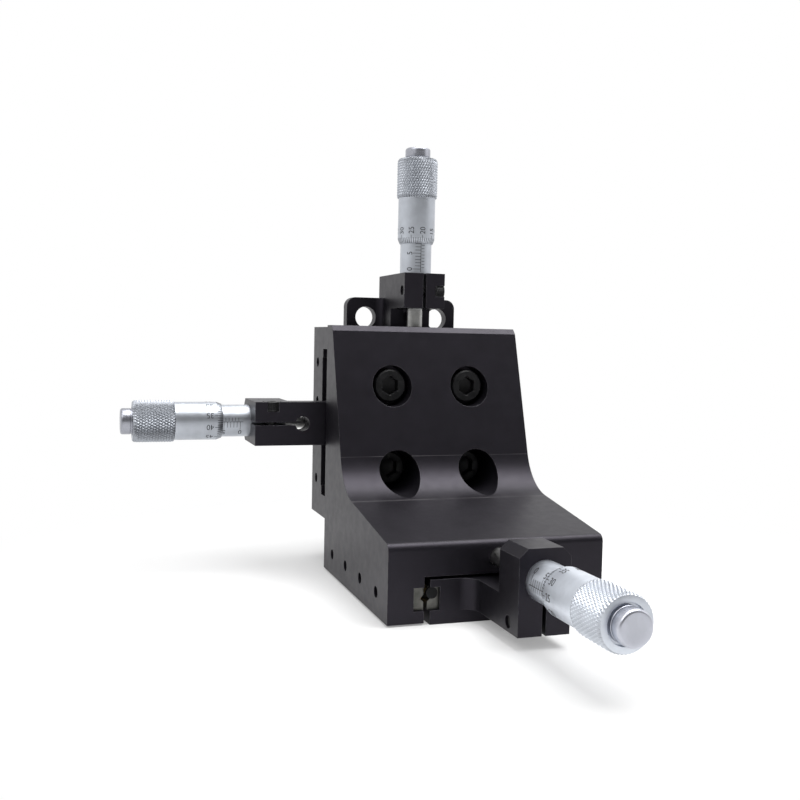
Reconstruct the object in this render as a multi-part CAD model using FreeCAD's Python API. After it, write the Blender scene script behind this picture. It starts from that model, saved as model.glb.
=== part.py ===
import FreeCAD, Part
import math
import os

# Three-axis manual translation stage on crossed-roller guides, in millimetres.
# Origin: centre of the base's hole pattern, on the base's underside. +X right, +Y away, +Z up.
# The base carries an L-bracket that slides along Y, the bracket's upright carries a middle block
# that slides along X, and the middle block carries the Z slide with the payload face.

V = FreeCAD.Vector

# L-bracket
bracket_width = 60.0
bracket_length = 65.0
bracket_height = 75.0
bracket_rise = 0.5            # the legs hang this far above the base's underside
upright_top = 6.3             # thickness of the upright below its chamfer
upright_chamfer = 1.6
upright_lean = 17.6           # degrees from vertical of the inclined front
shelf_slope = 8.8             # degrees that the shelf climbs towards the upright
shelf_front_height = 20.2     # sharp front corner of the shelf above the legs' feet
shelf_edge_radius = 2.0
throat_radius = 16.0          # hollow between the shelf and the upright

# Middle block
block_size = 60.0             # along X and Z
block_thickness = 21.0        # along Y
bracket_gap = 0.5             # between the upright's back and the middle block

# Crossed-roller guides, the same section on all three axes
rail_width = 3.0
rail_height = 6.0
rail_gap = 1.0                # between the two rails of a pair
rail_recess = 1.2             # from a block's end to its rail's end
guide_half = 19.6             # from the slide's centre plane to the middle of a rail gap
roller_diameter = 2.0
roller_length = 1.8
roller_play = 0.03
roller_pitch = 5.0
cage_thickness = 0.5
cage_height = 5.0
cage_window = 2.3             # windows along the travel, and across it
cage_window_height = 2.8
cage_end = 2.5                # from the last roller's middle to the cage's end

# Blocks between the guides
inner_half_width = 18.7
channel_half_width = 20.3
inner_lengths = {"x": 50.8, "y": bracket_length, "z": 50.0}
screw_pitches = {"x": 12.5, "y": 15.0, "z": 12.5}
screws_per_rail = 4
base_under = 6.6              # from the rails' middle height to the base's underside
base_top = 4.9                # and to its top
upper_under = 6.0             # the same for the X and Z inner blocks
upper_top = 3.1
roof_gaps = {"x": 0.6, "y": 0.8, "z": 0.6}
grid = 25.0                   # pitch of every M6 pattern
guide_height = 45.0           # the X slide's centre above the ground
z_flange_thickness = 4.0
z_flange_half_width = 19.0
z_flange_below = 26.1         # from the Z inner block's middle down to the flange's end
z_flange_above = 42.1
z_flange_radius = 3.0
ear_height = 35.6             # ear holes above the Z inner block's middle
ear_hole_radius = 3.5
stem_fillet = 2.5

# Travel. A reading is the micrometer's scale at rest.
travel = 13.0
readings = {"x": 5.5, "y": 6.5, "z": 8.4}

# Micrometer heads
scale_starts = {"x": 3.1, "y": 2.4, "z": 1.3}   # holder's outer face to thimble edge at reading 0
sleeve_radius = 5.0
sleeve_reach = 24.0           # sleeve outside the holder
sleeve_nut_start = 18.5
spindle_radius = 2.5
spindle_screw_radius = 2.0
spindle_reach = 25.5          # tip inside the holder's outer face at reading 0
spindle_plain = 30.0
running_gap = 0.05
thimble_radius = 5.9
thimble_smooth = 14.4
thimble_edge_radius = 5.35
thimble_bevel = 1.5
thimble_bore_radius = 5.15
thimble_bore_depth = 24.0
knurl_radius = 6.5
knurl_length = 12.5
knurl_rounding = 0.6
cap_radius = 4.0
cap_length = 3.5
cap_bevel = 0.5
cap_pocket_depth = 1.0
cap_pocket_gap = 0.5

# Micrometer arms and holders
arm_lengths = {"x": 26.0, "y": 26.0}
arm_half_width = 6.7
arm_under = 3.2               # the arm's lower face below the rails' middle height
arm_root_fillet = 4.0
holder_length = 11.0
holder_height = 20.8
holder_chamfer = 2.2
holder_axis = 13.0            # micrometer axis above the arm's lower face
slit_width = 1.0
slit_length = 14.7
relief_radius = 2.25
clamp_inset = 2.4             # clamp screw below the face that the slit opens on
z_axis_inset = 7.5            # Z micrometer axis from the rails' middle height
z_holder_front = 16.8
z_holder_start = 38.4         # from the Z inner block's middle

# Fasteners: (thread radius, head radius, head height, socket across flats)
m6_cap = (3.0, 5.0, 6.0, 5.0)
m3_cap = (1.5, 2.75, 3.0, 2.5)
m2_cap = (1.0, 1.9, 2.0, 1.5)
m16_cap = (0.8, 1.5, 1.6, 1.2)
stop_screw = (0.6, 1.5, 1.0, 0.7)
thread_gap = 0.05
head_gap = 0.2
mount_depth = 8.0
bolt_head_gap = 1.2           # round the M6 heads
bolt_grip = 3.5               # upright left under the M6 heads
bolt_length = 12.0
rail_screw_across = 17.3      # inner rail screws from the slide's centre plane
rail_screw_floor = 4.4        # their heads' seat below the rails' middle height
preload_radius = 1.5
preload_length = 5.0
stop_across = 18.2
stop_lift = 1.5
stop_shank = 2.0
outer_screw_bite = 1.6
clamp_end_gap = 0.5           # the clamp screw stops this short of the holder's far side

# Return springs
spring_radius = 2.0
spring_wire = 0.6
spring_depth = 2.5            # spring axis below the inner block's top
spring_pin_at = 14.0          # fixed pin from the inner block's middle
spring_post_at = 12.0         # moving post at rest, on the other side
spring_pin_radius = 1.0
spring_loop_gap = 0.3
groove_half_width = 2.8
groove_floor_gap = 0.5
groove_end = 3.0
pin_seat = 3.0
post_seat = 2.0

contact_radius = 2.5
contact_wall = 0.9            # left between a contact pin's end and the rails

bracket_back = bracket_length / 2
bracket_front = -bracket_length / 2
rail_outer = guide_half + rail_gap / 2 + rail_width
rail_inner = guide_half - rail_gap / 2 - rail_width
half_block = block_size / 2
contact_seat = half_block - rail_outer - contact_wall
block_front = bracket_back + bracket_gap
block_back = block_front + block_thickness


def box(x0, x1, y0, y1, z0, z1):
    return Part.makeBox(x1 - x0, y1 - y0, z1 - z0, V(x0, y0, z0))


def rod(start, direction, length, radius):
    return Part.makeCylinder(radius, length, V(*start), V(*direction))


def joined(shapes):
    """One solid from shapes that overlap or meet."""
    return shapes[0].multiFuse(shapes[1:]).removeSplitter()


def cut(shape, tools):
    return shape.cut(Part.makeCompound(tools))


def placed(shape, place):
    moved = shape.copy()
    moved.Placement = place.multiply(shape.Placement)
    return moved


def turned(profile):
    """A solid turned about the local x axis from (x, radius) corners."""
    points = [V(x, radius, 0) for x, radius in profile]
    face = Part.Face(Part.makePolygon(points + points[:1]))
    return face.revolve(V(0, 0, 0), V(1, 0, 0), 360)


def rounded_face(corners, at):
    """A flat face from corners (a, b, radius); at puts a point of its outline in space."""
    bends = []
    count = len(corners)
    for i, (a, b, radius) in enumerate(corners):
        here = V(a, b, 0)
        before = V(corners[i - 1][0], corners[i - 1][1], 0)
        after = V(corners[(i + 1) % count][0], corners[(i + 1) % count][1], 0)
        back = (before - here).normalize()
        on = (after - here).normalize()
        half = back.getAngle(on) / 2
        reach = radius / math.tan(half)
        middle = here + (back + on).normalize() * (radius / math.sin(half) - radius)
        bends.append((here + back * reach, middle, here + on * reach))
    edges = []
    for i, (first, middle, last) in enumerate(bends):
        if corners[i][2]:
            edges.append(Part.Arc(at(first), at(middle), at(last)).toShape())
        following = bends[(i + 1) % count][0]
        edges.append(Part.LineSegment(at(last), at(following)).toShape())
    return Part.Face(Part.Wire(edges))


def hexagon(centre, direction, flats, depth):
    """A hexagonal socket, cut from its centre along a direction."""
    radius = flats / math.sqrt(3)
    place = FreeCAD.Placement(V(*centre), FreeCAD.Rotation(V(0, 0, 1), V(*direction)))
    points = []
    for i in range(6):
        angle = math.radians(60 * i)
        points.append(V(radius * math.cos(angle), radius * math.sin(angle), 0))
    face = Part.Face(Part.makePolygon(points + points[:1]))
    return placed(face.extrude(V(0, 0, depth)), place)


def headed_pin(seat, direction, length, kind):
    """A screw's plain form: its head stands on the seat, its shank runs along the direction."""
    thread, head, height, flats = kind
    top = V(*seat) - V(*direction) * height
    return joined([rod(top, direction, height, head), rod(seat, direction, length, thread)])


def cap_screw(seat, direction, length, kind):
    """A socket cap screw."""
    height, flats = kind[2:]
    top = V(*seat) - V(*direction) * height
    return headed_pin(seat, direction, length, kind).cut(hexagon(top, direction, flats, height * 0.55))


def set_screw(start, direction, length, radius):
    """A headless screw with a socket in its outer end, at start."""
    body = rod(start, direction, length, radius)
    return body.cut(hexagon(start, direction, radius, length * 0.4))


class Slide:
    """One axis. Its frame has x along the travel, z from the rails towards the channel's roof
    and y across, and starts in the middle of the inner block at the rails' middle height."""

    def __init__(self, name, middle, along, up, outer_size, under, top, pull):
        self.name = name
        towards = V(*up)
        across = towards.cross(V(*along))
        turn = FreeCAD.Rotation(V(*along), across, towards, "XYZ")
        self.place = FreeCAD.Placement(V(*middle), turn)
        self.inner_length = inner_lengths[name]
        self.outer_length, outer_width = outer_size
        self.outer_half_width = outer_width / 2
        self.under = -under
        self.top = top
        self.roof = top + roof_gaps[name]
        self.pull = pull
        # the carriage's middle, from the inner block's middle, at rest
        self.offset = pull * (travel / 2 - readings[name])

    def screw_places(self):
        """Places of a rail's screws along the travel, about its own middle."""
        pitch = screw_pitches[self.name]
        return [pitch * (i - (screws_per_rail - 1) / 2) for i in range(screws_per_rail)]

    def put(self, shapes):
        """Local shapes, as one group in the stage."""
        return placed(Part.makeCompound(shapes), self.place)


def bar(low, high, near, far):
    """A bar of the rails' height along the travel, between two places across it."""
    return box(low, high, min(near, far), max(near, far), -rail_height / 2, rail_height / 2)


def groove(half_depth):
    """Half of the square tunnel that the rollers run in, as a bar along x, both sides."""
    points = [
        V(0, -half_depth, 0),
        V(0, 0, half_depth),
        V(0, half_depth, 0),
        V(0, 0, -half_depth),
    ]
    return Part.Face(Part.makePolygon(points + points[:1]))


def rail(length, middle, inner, side):
    """A V-grooved rail on one side of a slide; its groove faces the other rail of the pair."""
    inside = guide_half - rail_gap / 2 - rail_width
    if not inner:
        inside = guide_half + rail_gap / 2
    near = side * inside
    far = side * (inside + rail_width)
    half = length / 2
    body = bar(middle - half, middle + half, near, far)
    tunnel = groove(roller_diameter / math.sqrt(2)).extrude(V(length + 2, 0, 0))
    tunnel.translate(V(middle - half - 1, side * guide_half, 0))
    return body.cut(tunnel)


def inner_rails(slide):
    """Rails of the inner block, drilled for their screws and for the cage stops."""
    length = slide.inner_length - 2 * rail_recess
    thread = m16_cap[0] + thread_gap
    rails = []
    for side in (-1, 1):
        holes = []
        for at in slide.screw_places():
            foot = (at, side * rail_screw_across, -rail_height)
            holes.append(rod(foot, (0, 0, 1), rail_height + thread_gap, thread))
        for end in (-1, 1):
            start = (end * length / 2, side * stop_across, stop_lift)
            holes.append(rod(start, (-end, 0, 0), stop_shank + thread_gap, stop_screw[0] + thread_gap))
        rails.append(cut(rail(length, 0, True, side), holes))
    return slide.put(rails)


def outer_rails(slide):
    """Rails of the carriage. The one on the clamped side is drilled for its screws."""
    length = slide.outer_length - 2 * rail_recess
    holes = []
    for at in slide.screw_places():
        start = (slide.offset + at, -rail_outer - 1, 0)
        holes.append(rod(start, (0, 1, 0), outer_screw_bite + 1 + thread_gap, m2_cap[0] + thread_gap))
    clamped = cut(rail(length, slide.offset, False, -1), holes)
    return slide.put([clamped, rail(length, slide.offset, False, 1)])


def roller_places(slide):
    """Places of the rollers along the travel. The cage lies midway between block and carriage."""
    free = slide.inner_length - 2 * rail_recess - travel / 2 - 2 * cage_end - 1
    count = int(free // roller_pitch) + 1
    middle = slide.offset / 2
    return [middle + roller_pitch * (i - (count - 1) / 2) for i in range(count)]


def cages(slide):
    """Thin strips between the rails, with a window for each roller."""
    places = roller_places(slide)
    strips = []
    for side in (-1, 1):
        near = side * guide_half - cage_thickness / 2
        strip = box(
            places[0] - cage_end, places[-1] + cage_end,
            near, near + cage_thickness,
            -cage_height / 2, cage_height / 2,
        )
        wide = cage_window / 2
        high = cage_window_height / 2
        windows = []
        for at in places:
            windows.append(box(at - wide, at + wide, near - 1, near + cage_thickness + 1, -high, high))
        strips.append(cut(strip, windows))
    return slide.put(strips)


def rollers(slide):
    """Rollers that lie crossed, each at right angles to the next."""
    bodies = []
    for side in (-1, 1):
        for i, at in enumerate(roller_places(slide)):
            lean = 1 if i % 2 else -1
            axis = V(0, 1, lean).normalize()
            start = V(at, side * guide_half, 0) - axis * (roller_length / 2)
            bodies.append(rod(start, axis, roller_length, roller_diameter / 2 - roller_play))
    return slide.put(bodies)


def stop_screws(slide):
    """Screws on the ends of the inner rails; their heads keep the cages in."""
    end_at = slide.inner_length / 2 - rail_recess
    screws = []
    for side in (-1, 1):
        for end in (-1, 1):
            seat = (end * end_at, side * stop_across, stop_lift)
            screws.append(headed_pin(seat, (-end, 0, 0), stop_shank, stop_screw))
    return slide.put(screws)


def inner_rail_screws(slide):
    length = rail_screw_floor
    screws = []
    for side in (-1, 1):
        for at in slide.screw_places():
            seat = (at, side * rail_screw_across, -rail_screw_floor)
            screws.append(headed_pin(seat, (0, 0, 1), length, m16_cap))
    return slide.put(screws)


def outer_rail_screws(slide):
    """Cap screws through the carriage's wall into the clamped rail."""
    seat_at = -slide.outer_half_width + m2_cap[2] + head_gap
    length = -rail_outer + outer_screw_bite - seat_at
    screws = []
    for at in slide.screw_places():
        screws.append(cap_screw((slide.offset + at, seat_at, 0), (0, 1, 0), length, m2_cap))
    return slide.put(screws)


def preload_screws(slide):
    """Set screws that press the other rail towards the rollers."""
    screws = []
    for at in slide.screw_places():
        start = (slide.offset + at, rail_outer + preload_length, 0)
        screws.append(set_screw(start, (0, -1, 0), preload_length, preload_radius))
    return slide.put(screws)


def spring_axis(slide):
    return slide.top - spring_depth


def spring(slide):
    """A tension spring with a flat loop round each pin, the loops at right angles."""
    pin_at = -slide.pull * spring_pin_at
    post_at = slide.pull * spring_post_at
    height = spring_axis(slide)
    hole = spring_pin_radius + spring_loop_gap
    low = min(pin_at, post_at) + hole + spring_wire / 2
    high = max(pin_at, post_at) - hole - spring_wire / 2
    coils = int((high - low) / (3 * spring_wire))
    pitch = (high - low) / coils
    profile = [(low, 0), (low, spring_radius - spring_wire)]
    for i in range(coils):
        profile.append((low + pitch * (i + 0.5), spring_radius))
        profile.append((low + pitch * (i + 1), spring_radius - spring_wire))
    profile.append((high, 0))
    body = turned(profile)
    body.translate(V(0, 0, height))
    loops = [body]
    for at, axis in ((pin_at, V(0, 1, 0)), (post_at, V(0, 0, 1))):
        foot = V(at, 0, height) - axis * (spring_wire / 2)
        ring = rod(foot, axis, spring_wire, hole + spring_wire)
        loops.append(ring.cut(rod(foot, axis, spring_wire, hole)))
    return slide.put([joined(loops)])


def spring_pin(slide):
    """The spring's pin across the inner block's groove."""
    start = (-slide.pull * spring_pin_at, -groove_half_width - pin_seat, spring_axis(slide))
    length = 2 * (groove_half_width + pin_seat)
    return slide.put([rod(start, (0, 1, 0), length, spring_pin_radius)])


def spring_post(slide):
    """The spring's post, which hangs from the channel's roof."""
    low = spring_axis(slide) - spring_wire
    start = (slide.pull * spring_post_at, 0, low)
    return slide.put([rod(start, (0, 0, 1), slide.roof + post_seat - low, spring_pin_radius)])


def inner_block_cuts(slide, back):
    """Rail seats, screw notches and the spring's groove, cut from an inner block.
    back is the height of its back face, where the notches for the screw heads open."""
    half = slide.inner_length / 2
    notch = m16_cap[1] + head_gap
    tools = []
    for side in (-1, 1):
        near = side * rail_inner
        far = side * (inner_half_width + 1)
        tools.append(bar(-half - 1, half + 1, near, far))
        for at in slide.screw_places():
            seat = (at, side * rail_screw_across, -rail_screw_floor)
            tools.append(rod(seat, (0, 0, 1), rail_screw_floor, m16_cap[0] + thread_gap))
            tools.append(rod(seat, (0, 0, -1), -rail_screw_floor - back + 1, notch))
            inside, outside = sorted((side * rail_screw_across, side * (z_flange_half_width + 1)))
            tools.append(box(at - notch, at + notch, inside, outside, back - 1, -rail_screw_floor))
    height = spring_axis(slide)
    pin_at = -slide.pull * spring_pin_at
    post_at = slide.pull * (spring_post_at + travel / 2) - slide.offset
    low = min(pin_at, post_at) - groove_end
    high = max(pin_at, post_at) + groove_end
    floor = height - spring_radius - groove_floor_gap
    tools.append(box(low, high, -groove_half_width, groove_half_width, floor, slide.top + 1))
    seat = groove_half_width + pin_seat
    tools.append(rod((pin_at, -seat, height), (0, 1, 0), 2 * seat, spring_pin_radius + thread_gap))
    return tools


def carriage_cuts(slide, depth):
    """The channel, rail seats and screw holes of a carriage, as deep as its open side."""
    half = slide.outer_length / 2
    low = slide.offset - half - 1
    high = slide.offset + half + 1
    tools = [box(low, high, -channel_half_width, channel_half_width, -depth - 1, slide.roof)]
    tools.append(bar(low, high, -rail_outer, rail_outer))
    head_depth = m2_cap[2] + head_gap
    wall = slide.outer_half_width - channel_half_width
    for at in slide.screw_places():
        along = slide.offset + at
        clamped = (along, -slide.outer_half_width - 1, 0)
        tools.append(rod(clamped, (0, 1, 0), head_depth + 1, m2_cap[1] + head_gap))
        tools.append(rod(clamped, (0, 1, 0), wall, m2_cap[0] + head_gap))
        pressed = (along, slide.outer_half_width + 1, 0)
        tools.append(rod(pressed, (0, -1, 0), wall, preload_radius + thread_gap))
    post = (slide.pull * spring_post_at, 0, slide.roof - 1)
    tools.append(rod(post, (0, 0, 1), post_seat + 1, spring_pin_radius + thread_gap))
    return [placed(tool, slide.place) for tool in tools]


def holder_cuts(outer, inward, face, into, axis):
    """Micrometer bore, clamping slit, clamp screw hole and head notch of one holder.
    outer is its outer face along the travel, face the side that the slit opens on."""
    clamp_at = outer + inward * holder_length / 2
    clamp_height = face + into * clamp_inset
    side = (clamp_at, -arm_half_width - 1, clamp_height)
    return [
        rod((outer - inward, 0, axis), (inward, 0, 0), holder_length + 2, sleeve_radius + thread_gap),
        rod(side, (0, 1, 0), 2 * arm_half_width + 2, m3_cap[0] + thread_gap),
        rod(side, (0, 1, 0), m3_cap[2] + 1, m3_cap[1] + head_gap),
    ]


def slit(low, high, face, axis):
    return box(low, high, -slit_width / 2, slit_width / 2, min(face, axis), max(face, axis))


def clamp_screw(slide, outer, inward, face, into):
    clamp_at = outer + inward * holder_length / 2
    seat = (clamp_at, m3_cap[2] - arm_half_width, face + into * clamp_inset)
    length = 2 * arm_half_width - m3_cap[2] - clamp_end_gap
    return slide.put([cap_screw(seat, (0, 1, 0), length, m3_cap)])


def arm_outer(slide):
    """The holder's outer face on the X and Y slides."""
    return -slide.inner_length / 2 - arm_lengths[slide.name]


def arm_and_holder(slide):
    """The arm beyond the inner block's end, with a chamfered holder on it."""
    outer = arm_outer(slide)
    root = -slide.inner_length / 2
    wide = arm_half_width + arm_root_fillet + 1
    outline = [
        (outer, -arm_half_width, 0), (outer, arm_half_width, 0),
        (root, arm_half_width, arm_root_fillet), (root, wide, 0),
        (root + 1, wide, 0), (root + 1, -wide, 0),
        (root, -wide, 0), (root, -arm_half_width, arm_root_fillet),
    ]
    low = -arm_under
    arm = rounded_face(outline, lambda p: V(p.x, p.y, low)).extrude(V(0, 0, slide.top - low))
    high = low + holder_height
    side = arm_half_width
    edge = side - holder_chamfer
    section = [
        (-side, low, 0), (side, low, 0), (side, high - holder_chamfer, 0),
        (edge, high, 0), (-edge, high, 0), (-side, high - holder_chamfer, 0),
    ]
    holder = rounded_face(section, lambda p: V(outer, p.x, p.y)).extrude(V(holder_length, 0, 0))
    return [arm, holder]


def arm_cuts(slide):
    outer = arm_outer(slide)
    axis = holder_axis - arm_under
    tools = holder_cuts(outer, 1, -arm_under, 1, axis)
    tools.append(slit(outer - 1, outer + slit_length, -arm_under - 1, axis))
    relief = (outer + slit_length, 0, -arm_under - 1)
    tools.append(rod(relief, (0, 0, 1), slide.top + arm_under + 2, relief_radius))
    return tools


def grid_holes(slide, start, depth, radius, direction):
    """Four M6 holes on the 25 mm grid about the inner block's middle."""
    holes = []
    for along in (-grid / 2, grid / 2):
        for across in (-grid / 2, grid / 2):
            holes.append(rod((along, across, start), (0, 0, direction), depth, radius))
    return holes


def lower_inner_block(slide, depth):
    """The base or the X inner block, each with its micrometer arm."""
    half = slide.inner_length / 2
    body = box(-half, half, -inner_half_width, inner_half_width, slide.under, slide.top)
    solid = joined([body] + arm_and_holder(slide))
    tools = inner_block_cuts(slide, slide.under) + arm_cuts(slide)
    tools += grid_holes(slide, slide.under - 1, depth + 1, m6_cap[0] + thread_gap, 1)
    return slide.put([cut(solid, tools)])


def z_inner_block(slide):
    """The Z slide's block with its flange, two ears, stem and overhanging holder."""
    half = slide.inner_length / 2
    back = slide.under - z_flange_thickness
    body = box(-half, half, -inner_half_width, inner_half_width, slide.under - 1, slide.top)
    wide = z_flange_half_width
    plate_outline = [
        (-z_flange_below, -wide, 0), (z_flange_above, -wide, z_flange_radius),
        (z_flange_above, wide, z_flange_radius), (-z_flange_below, wide, 0),
    ]
    plate = rounded_face(plate_outline, lambda p: V(p.x, p.y, back)).extrude(V(0, 0, z_flange_thickness))
    foot = arm_half_width + stem_fillet + 1
    stem_outline = [
        (-foot, slide.under - 1, 0), (foot, slide.under - 1, 0), (foot, slide.under, 0),
        (arm_half_width, slide.under, stem_fillet), (arm_half_width, slide.top, 0),
        (-arm_half_width, slide.top, 0), (-arm_half_width, slide.under, stem_fillet),
        (-foot, slide.under, 0),
    ]
    stem_top = z_flange_above
    stem = rounded_face(stem_outline, lambda p: V(half - 1, p.x, p.y)).extrude(V(stem_top - half + 1, 0, 0))
    holder = box(
        z_holder_start, z_holder_start + holder_length,
        -arm_half_width, arm_half_width,
        back, z_holder_front,
    )
    solid = joined([body, plate, stem, holder])
    outer = z_holder_start + holder_length
    tools = inner_block_cuts(slide, back)
    tools += holder_cuts(outer, -1, z_holder_front, -1, z_axis_inset)
    tools.append(slit(z_holder_start - 1, outer + 1, z_axis_inset, z_holder_front + 1))
    rows = (ear_height - 2 * grid, ear_height - grid, ear_height)
    for row, at in enumerate(rows):
        radius = ear_hole_radius if row == 2 else m6_cap[0] + thread_gap
        for across in (-grid / 2, grid / 2):
            tools.append(rod((at, across, back - 1), (0, 0, 1), mount_depth + 1, radius))
    return slide.put([cut(solid, tools)])


def bracket_outline():
    """Side profile of the L-bracket as (y, z, radius) corners."""
    top = bracket_rise + bracket_height
    front = bracket_back - upright_top
    chamfer = upright_chamfer
    lean = math.tan(math.radians(upright_lean))
    climb = math.tan(math.radians(shelf_slope))
    shelf = bracket_rise + shelf_front_height
    # the inclined front and the shelf meet in the throat's sharp corner
    drop = (top - chamfer - shelf - climb * (front - bracket_front)) / (1 - climb * lean)
    corner = (front - drop * lean, top - chamfer - drop)
    return [
        (bracket_back, bracket_rise, 0),
        (bracket_back, top, 0),
        (front + chamfer, top, 0),
        (front, top - chamfer, 0),
        (corner[0], corner[1], throat_radius),
        (bracket_front, shelf, shelf_edge_radius),
        (bracket_front, bracket_rise, 0),
    ]


def bolt_places():
    """The four M6 bolts that hold the X inner block, as (x, z)."""
    return [(x, guide_height + z) for x in (-grid / 2, grid / 2) for z in (-grid / 2, grid / 2)]


def l_bracket(slide, contact):
    half = bracket_width / 2
    profile = rounded_face(bracket_outline(), lambda p: V(-half, p.x, p.y))
    solid = profile.extrude(V(bracket_width, 0, 0))
    tools = carriage_cuts(slide, base_under)
    seat = bracket_back - bolt_grip
    for x, z in bolt_places():
        tools.append(rod((x, seat, z), (0, -1, 0), bracket_length, m6_cap[1] + bolt_head_gap))
        tools.append(rod((x, seat - 1, z), (0, 1, 0), bolt_grip + 2, m6_cap[0] + head_gap))
    return cut(solid, tools + [contact])


def bracket_bolts():
    seat = bracket_back - bolt_grip
    bolts = [cap_screw((x, seat, z), (0, 1, 0), bolt_length, m6_cap) for x, z in bolt_places()]
    return Part.makeCompound(bolts)


def middle_block(x_slide, z_slide, contacts):
    centre = x_slide.offset
    solid = box(
        centre - half_block, centre + half_block,
        block_front, block_back,
        guide_height - half_block, guide_height + half_block,
    )
    tools = carriage_cuts(x_slide, upper_under) + carriage_cuts(z_slide, upper_under)
    return cut(solid, tools + contacts)


def micrometer_places(slides):
    """Frames of the three micrometers: origin on the holder's outer face, x along the push."""
    lift = holder_axis - arm_under
    places = {}
    for name in ("x", "y"):
        slide = slides[name]
        start = slide.place.multVec(V(arm_outer(slide), 0, lift))
        places[name] = FreeCAD.Placement(start, slide.place.Rotation)
    slide = slides["z"]
    start = slide.place.multVec(V(z_holder_start + holder_length, 0, z_axis_inset))
    down = FreeCAD.Rotation(V(0, 0, -1), V(0, -1, 0), V(-1, 0, 0), "XYZ")
    places["z"] = FreeCAD.Placement(start, down)
    return places


def sleeve():
    """The fixed sleeve: a clamped stem, and a nut at its far end for the screw."""
    bush = spindle_radius + running_gap
    nut = spindle_screw_radius + running_gap
    return turned([
        (holder_length, bush), (holder_length, sleeve_radius),
        (-sleeve_reach, sleeve_radius), (-sleeve_reach, nut),
        (-sleeve_nut_start, nut), (-sleeve_nut_start, bush),
    ])


def thimble_edge(name):
    """Place of the thimble's scale edge at rest, in the micrometer's frame."""
    return -(scale_starts[name] + readings[name])


def spindle(name):
    """The spindle with its screw, from its tip to the thimble's inner wall."""
    tip = spindle_reach - readings[name]
    back = thimble_edge(name) - thimble_bore_depth
    shoulder = tip - spindle_plain
    return turned([
        (tip, 0), (tip, spindle_radius - 0.3), (tip - 0.3, spindle_radius),
        (shoulder, spindle_radius), (shoulder, spindle_screw_radius),
        (back, spindle_screw_radius), (back, 0),
    ])


def thimble(name):
    """The thimble: bevelled scale edge, smooth barrel, knurled grip and a pocket for the cap."""
    edge = thimble_edge(name)
    barrel = edge - thimble_smooth
    end = barrel - knurl_length
    pocket = end + cap_pocket_depth
    pocket_radius = cap_radius + cap_pocket_gap
    step = (knurl_radius - thimble_radius) / 2
    return turned([
        (edge, thimble_bore_radius), (edge, thimble_edge_radius),
        (edge - thimble_bevel, thimble_radius), (barrel, thimble_radius),
        (barrel - step, knurl_radius), (end + knurl_rounding, knurl_radius),
        (end, knurl_radius - knurl_rounding), (end, pocket_radius),
        (pocket, pocket_radius), (pocket, 0),
        (edge - thimble_bore_depth, 0), (edge - thimble_bore_depth, thimble_bore_radius),
    ])


def cap(name):
    """The smooth end cap, which stands in the thimble's pocket."""
    end = thimble_edge(name) - thimble_smooth - knurl_length
    outer = end - cap_length
    return turned([
        (end + cap_pocket_depth, 0), (end + cap_pocket_depth, cap_radius),
        (outer + cap_bevel, cap_radius), (outer, cap_radius - cap_bevel), (outer, 0),
    ])


def contact_pin(place, name, face):
    """The pin that the spindle pushes, from the spindle's tip into the block that moves."""
    tip = spindle_reach - readings[name]
    length = face - tip + contact_seat
    return placed(rod((tip, 0, 0), (1, 0, 0), length, contact_radius), place)


def save(name, shape):
    shape.exportStep(os.path.join("parts", name + ".step"))


def build():
    os.makedirs("parts", exist_ok=True)
    web_front = bracket_back + upper_under
    x_middle = (0, web_front, guide_height)
    bracket_size = (bracket_length, bracket_width)
    square = (block_size, block_size)
    y_slide = Slide("y", (0, 0, base_under), (0, 1, 0), (0, 0, 1), bracket_size, base_under, base_top, 1)
    x_slide = Slide("x", x_middle, (1, 0, 0), (0, 1, 0), square, upper_under, upper_top, 1)
    z_travel = travel / 2 - readings["z"]
    z_rails = block_back - (upper_under - bracket_gap)
    z_middle = (x_slide.offset, z_rails, guide_height + z_travel)
    z_slide = Slide("z", z_middle, (0, 0, 1), (0, -1, 0), square, upper_under, upper_top, -1)
    slides = {"x": x_slide, "y": y_slide, "z": z_slide}
    places = micrometer_places(slides)

    faces = {
        "x": x_slide.offset - half_block - places["x"].Base.x,
        "y": bracket_front - places["y"].Base.y,
        "z": places["z"].Base.z - guide_height - half_block,
    }
    seats = {}
    for name, place in places.items():
        save(name + "_contact_pin", contact_pin(place, name, faces[name]))
        seat = rod((faces[name] - 1, 0, 0), (1, 0, 0), contact_seat + 1, contact_radius + thread_gap)
        seats[name] = placed(seat, place)
        save(name + "_micrometer_sleeve", placed(sleeve(), place))
        save(name + "_spindle", placed(spindle(name), place))
        save(name + "_thimble", placed(thimble(name), place))
        save(name + "_thimble_cap", placed(cap(name), place))

    save("l_bracket", l_bracket(y_slide, seats["y"]))
    save("bracket_bolts", bracket_bolts())
    save("middle_block", middle_block(x_slide, z_slide, [seats["x"], seats["z"]]))
    save("y_base", lower_inner_block(y_slide, mount_depth))
    save("x_inner_block", lower_inner_block(x_slide, upper_under + upper_top + 1))
    save("z_inner_block", z_inner_block(z_slide))
    for slide in (x_slide, y_slide):
        save(slide.name + "_clamp_screw", clamp_screw(slide, arm_outer(slide), 1, -arm_under, 1))
    save("z_clamp_screw", clamp_screw(z_slide, z_holder_start + holder_length, -1, z_holder_front, -1))

    for name, slide in slides.items():
        save(name + "_inner_rails", inner_rails(slide))
        save(name + "_outer_rails", outer_rails(slide))
        save(name + "_roller_cages", cages(slide))
        save(name + "_rollers", rollers(slide))
        save(name + "_cage_stops", stop_screws(slide))
        save(name + "_inner_rail_screws", inner_rail_screws(slide))
        save(name + "_outer_rail_screws", outer_rail_screws(slide))
        save(name + "_preload_screws", preload_screws(slide))
        save(name + "_return_spring", spring(slide))
        save(name + "_spring_pin", spring_pin(slide))
        save(name + "_spring_post", spring_post(slide))


build()
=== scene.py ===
"""The manual XYZ translation stage, dressed for a studio view."""

import math

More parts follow.
